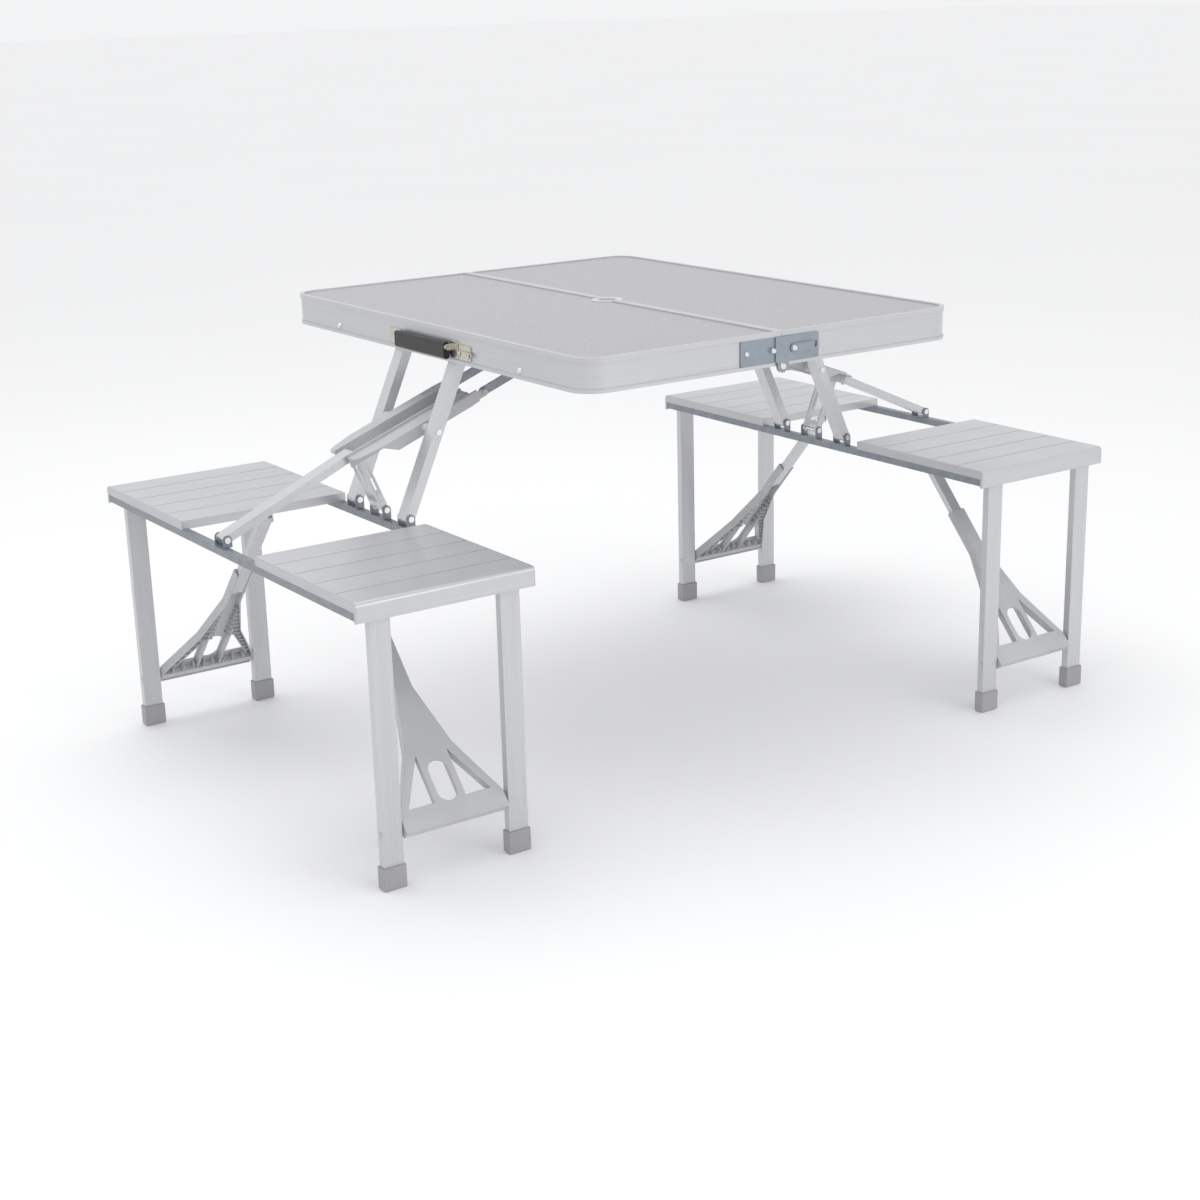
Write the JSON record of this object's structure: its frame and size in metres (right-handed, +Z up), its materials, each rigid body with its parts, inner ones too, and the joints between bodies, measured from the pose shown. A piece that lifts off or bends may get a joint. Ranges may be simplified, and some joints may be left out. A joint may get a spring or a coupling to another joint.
{
  "type": "folding picnic table",
  "caption": "Folding suitcase picnic table with attached slatted bench seats, folding legs, a linked support linkage, a carrying handle and an umbrella hole.",
  "frame": {"origin": "on the ground, under the middle of the tabletop", "axes": "+X across the split towards the right bench, +Y along the split towards the rear, +Z up"},
  "size_m": [1.368, 0.8638, 0.672],
  "materials": {
    "frame_aluminium": "satin",
    "laminate": "fine speckle, matt",
    "umbrella_plastic": "matt",
    "plate_steel": "satin grey",
    "zinc_rivet": "bright zinc",
    "grip_plastic": "matt black",
    "nickel_plate": "dull nickel",
    "rail_steel": "dark zinc grey",
    "satin_aluminium": "satin",
    "yoke_plastic": "fine grain",
    "trim_aluminium": "satin",
    "slat_aluminium": "brushed satin",
    "leg_aluminium": "satin",
    "cap_plastic": "matt grey"
  },
  "bodies": {
    "left_half": {"left_frame": "frame_aluminium", "left_panel": "laminate", "left_umbrella_boss": "umbrella_plastic", "left_hinge_plates": "plate_steel", "left_plate_rivets": "zinc_rivet", "handle_fittings": "nickel_plate", "left_table_brackets": "rail_steel", "left_frame_fasteners": "zinc_rivet"},
    "right_half": {"right_frame": "frame_aluminium", "right_panel": "laminate", "right_umbrella_boss": "umbrella_plastic", "right_hinge_plates": "plate_steel", "right_plate_rivets": "zinc_rivet", "clasp_catch": "nickel_plate", "right_table_brackets": "rail_steel", "right_frame_fasteners": "zinc_rivet"},
    "front_latch": {"front_latch_lever": "plate_steel"},
    "rear_latch": {"rear_latch_lever": "plate_steel"},
    "handle": {"handle_grip": "grip_plastic"},
    "clasp": {"clasp_hook": "nickel_plate"},
    "left_uprights": {"left_uprights": "satin_aluminium", "left_cross_pins": "zinc_rivet"},
    "left_bench": {"left_bench_rails": "rail_steel", "left_rail_brackets": "rail_steel", "left_bench_rods": "zinc_rivet", "left_seat_trims": "trim_aluminium", "left_front_slats": "slat_aluminium", "left_rear_slats": "slat_aluminium"},
    "left_support_yoke": {"left_support_yoke": "yoke_plastic"},
    "left_outer_arm": {"left_outer_arm": "satin_aluminium"},
    "left_straps": {"left_straps": "rail_steel"},
    "left_prop": {"left_prop": "satin_aluminium"},
    "left_front_legs": {"left_front_legs": "leg_aluminium", "left_front_foot_caps": "cap_plastic"},
    "left_front_leg_yoke": {"left_front_leg_yoke": "yoke_plastic"},
    "left_front_brace_tube": {"left_front_brace_tube": "satin_aluminium"},
    "left_rear_legs": {"left_rear_legs": "leg_aluminium", "left_rear_foot_caps": "cap_plastic"},
    "left_rear_leg_yoke": {"left_rear_leg_yoke": "yoke_plastic"},
    "left_rear_brace_tube": {"left_rear_brace_tube": "satin_aluminium"},
    "right_uprights": {"right_uprights": "satin_aluminium", "right_cross_pins": "zinc_rivet"},
    "right_bench": {"right_bench_rails": "rail_steel", "right_rail_brackets": "rail_steel", "right_bench_rods": "zinc_rivet", "right_seat_trims": "trim_aluminium", "right_front_slats": "slat_aluminium", "right_rear_slats": "slat_aluminium"},
    "right_support_yoke": {"right_support_yoke": "yoke_plastic"},
    "right_outer_arm": {"right_outer_arm": "satin_aluminium"},
    "right_straps": {"right_straps": "rail_steel"},
    "right_prop": {"right_prop": "satin_aluminium"},
    "right_front_legs": {"right_front_legs": "leg_aluminium", "right_front_foot_caps": "cap_plastic"},
    "right_front_leg_yoke": {"right_front_leg_yoke": "yoke_plastic"},
    "right_front_brace_tube": {"right_front_brace_tube": "satin_aluminium"},
    "right_rear_legs": {"right_rear_legs": "leg_aluminium", "right_rear_foot_caps": "cap_plastic"},
    "right_rear_leg_yoke": {"right_rear_leg_yoke": "yoke_plastic"},
    "right_rear_brace_tube": {"right_rear_brace_tube": "satin_aluminium"}
  },
  "joints": [
    {"name": "table_fold", "type": "hinge", "parent": "left_half", "child": "right_half", "pos_m": [0, 0, 0.623], "axis": [0, 1, 0], "range_deg": [0, 65]},
    {"name": "front_latch_swing", "type": "hinge", "parent": "right_half", "child": "front_latch", "pos_m": [0.0195, -0.4289, 0.647], "axis": [0, 1, 0], "range_deg": [-180, 0]},
    {"name": "rear_latch_swing", "type": "hinge", "parent": "right_half", "child": "rear_latch", "pos_m": [0.0195, 0.4289, 0.647], "axis": [0, 1, 0], "range_deg": [-180, 0]},
    {"name": "handle_swing", "type": "hinge", "parent": "left_half", "child": "handle", "pos_m": [-0.341, -0.009, 0.647], "axis": [0, 1, 0], "range_deg": [0, 90]},
    {"name": "clasp_swing", "type": "hinge", "parent": "left_half", "child": "clasp", "pos_m": [-0.336, -0.11, 0.64], "axis": [1, 0, 0], "range_deg": [0, 90]},
    {"name": "left_stow", "type": "hinge", "parent": "left_half", "child": "left_uprights", "pos_m": [-0.3065, 0, 0.656], "axis": [0, -1, 0], "range_deg": [0, 114.12]},
    {"name": "left_bench_level", "type": "hinge", "parent": "left_uprights", "child": "left_bench", "pos_m": [-0.42, 0, 0.405], "axis": [0, -1, 0], "range_deg": [-114.13, 0]},
    {"name": "left_cross_pivot", "type": "hinge", "parent": "left_uprights", "child": "left_support_yoke", "pos_m": [-0.36529, 0, 0.52598], "axis": [0, -1, 0], "range_deg": [0, 45.36]},
    {"name": "left_strap_swing", "type": "hinge", "parent": "left_half", "child": "left_straps", "pos_m": [-0.018, 0, 0.656], "axis": [0, -1, 0], "range_deg": [-20.54, 0]},
    {"name": "left_arm_swing", "type": "hinge", "parent": "left_bench", "child": "left_outer_arm", "pos_m": [-0.674, 0, 0.402], "axis": [0, -1, 0], "range_deg": [-24, 0]},
    {"name": "left_prop_fold", "type": "hinge", "parent": "left_bench", "child": "left_prop", "pos_m": [-0.42, 0, 0.405], "axis": [0, -1, 0], "range_deg": [0, 67.01]},
    {"name": "left_front_leg_fold", "type": "hinge", "parent": "left_bench", "child": "left_front_legs", "pos_m": [-0.549, -0.4, 0.383], "axis": [1, 0, 0], "range_deg": [0, 90]},
    {"name": "left_front_brace_swing", "type": "hinge", "parent": "left_bench", "child": "left_front_brace_tube", "pos_m": [-0.549, -0.128, 0.383], "axis": [1, 0, 0], "range_deg": [-48.1, 0]},
    {"name": "left_front_brace_knee", "type": "hinge", "parent": "left_front_brace_tube", "child": "left_front_leg_yoke", "pos_m": [-0.549, -0.25365, 0.24303], "axis": [1, 0, 0], "range_deg": [0, 180]},
    {"name": "left_rear_leg_fold", "type": "hinge", "parent": "left_bench", "child": "left_rear_legs", "pos_m": [-0.549, 0.4, 0.383], "axis": [-1, 0, 0], "range_deg": [0, 90]},
    {"name": "left_rear_brace_swing", "type": "hinge", "parent": "left_bench", "child": "left_rear_brace_tube", "pos_m": [-0.549, 0.128, 0.383], "axis": [-1, 0, 0], "range_deg": [-48.1, 0]},
    {"name": "left_rear_brace_knee", "type": "hinge", "parent": "left_rear_brace_tube", "child": "left_rear_leg_yoke", "pos_m": [-0.549, 0.25365, 0.24303], "axis": [-1, 0, 0], "range_deg": [0, 180]},
    {"name": "right_stow", "type": "hinge", "parent": "right_half", "child": "right_uprights", "pos_m": [0.3065, 0, 0.656], "axis": [0, 1, 0], "range_deg": [0, 114.12]},
    {"name": "right_bench_level", "type": "hinge", "parent": "right_uprights", "child": "right_bench", "pos_m": [0.42, 0, 0.405], "axis": [0, 1, 0], "range_deg": [-114.13, 0]},
    {"name": "right_cross_pivot", "type": "hinge", "parent": "right_uprights", "child": "right_support_yoke", "pos_m": [0.36529, 0, 0.52598], "axis": [0, 1, 0], "range_deg": [0, 45.36]},
    {"name": "right_strap_swing", "type": "hinge", "parent": "right_half", "child": "right_straps", "pos_m": [0.018, 0, 0.656], "axis": [0, 1, 0], "range_deg": [-20.54, 0]},
    {"name": "right_arm_swing", "type": "hinge", "parent": "right_bench", "child": "right_outer_arm", "pos_m": [0.674, 0, 0.402], "axis": [0, 1, 0], "range_deg": [-24, 0]},
    {"name": "right_prop_fold", "type": "hinge", "parent": "right_bench", "child": "right_prop", "pos_m": [0.42, 0, 0.405], "axis": [0, 1, 0], "range_deg": [0, 67.01]},
    {"name": "right_front_leg_fold", "type": "hinge", "parent": "right_bench", "child": "right_front_legs", "pos_m": [0.549, -0.4, 0.383], "axis": [1, 0, 0], "range_deg": [0, 90]},
    {"name": "right_front_brace_swing", "type": "hinge", "parent": "right_bench", "child": "right_front_brace_tube", "pos_m": [0.549, -0.128, 0.383], "axis": [1, 0, 0], "range_deg": [-48.1, 0]},
    {"name": "right_front_brace_knee", "type": "hinge", "parent": "right_front_brace_tube", "child": "right_front_leg_yoke", "pos_m": [0.549, -0.25365, 0.24303], "axis": [1, 0, 0], "range_deg": [0, 180]},
    {"name": "right_rear_leg_fold", "type": "hinge", "parent": "right_bench", "child": "right_rear_legs", "pos_m": [0.549, 0.4, 0.383], "axis": [-1, 0, 0], "range_deg": [0, 90]},
    {"name": "right_rear_brace_swing", "type": "hinge", "parent": "right_bench", "child": "right_rear_brace_tube", "pos_m": [0.549, 0.128, 0.383], "axis": [-1, 0, 0], "range_deg": [-48.1, 0]},
    {"name": "right_rear_brace_knee", "type": "hinge", "parent": "right_rear_brace_tube", "child": "right_rear_leg_yoke", "pos_m": [0.549, 0.25365, 0.24303], "axis": [-1, 0, 0], "range_deg": [0, 180]}
  ],
  "couplings": [
    {"joint": "left_bench_level", "follows": "left_stow", "ratio": -1},
    {"joint": "left_cross_pivot", "follows": "left_stow", "ratio": 0.39739},
    {"joint": "left_strap_swing", "follows": "left_stow", "ratio": -0.17985},
    {"joint": "left_arm_swing", "follows": "left_stow", "ratio": -0.21021},
    {"joint": "left_prop_fold", "follows": "left_stow", "ratio": 0.58708},
    {"joint": "left_front_brace_swing", "follows": "left_front_leg_fold", "ratio": -0.53429},
    {"joint": "left_front_brace_knee", "follows": "left_front_leg_fold", "ratio": 2},
    {"joint": "left_rear_brace_swing", "follows": "left_rear_leg_fold", "ratio": -0.53429},
    {"joint": "left_rear_brace_knee", "follows": "left_rear_leg_fold", "ratio": 2},
    {"joint": "right_bench_level", "follows": "right_stow", "ratio": -1},
    {"joint": "right_cross_pivot", "follows": "right_stow", "ratio": 0.39739},
    {"joint": "right_strap_swing", "follows": "right_stow", "ratio": -0.17985},
    {"joint": "right_arm_swing", "follows": "right_stow", "ratio": -0.21021},
    {"joint": "right_prop_fold", "follows": "right_stow", "ratio": 0.58708},
    {"joint": "right_front_brace_swing", "follows": "right_front_leg_fold", "ratio": -0.53429},
    {"joint": "right_front_brace_knee", "follows": "right_front_leg_fold", "ratio": 2},
    {"joint": "right_rear_brace_swing", "follows": "right_rear_leg_fold", "ratio": -0.53429},
    {"joint": "right_rear_brace_knee", "follows": "right_rear_leg_fold", "ratio": 2}
  ]
}
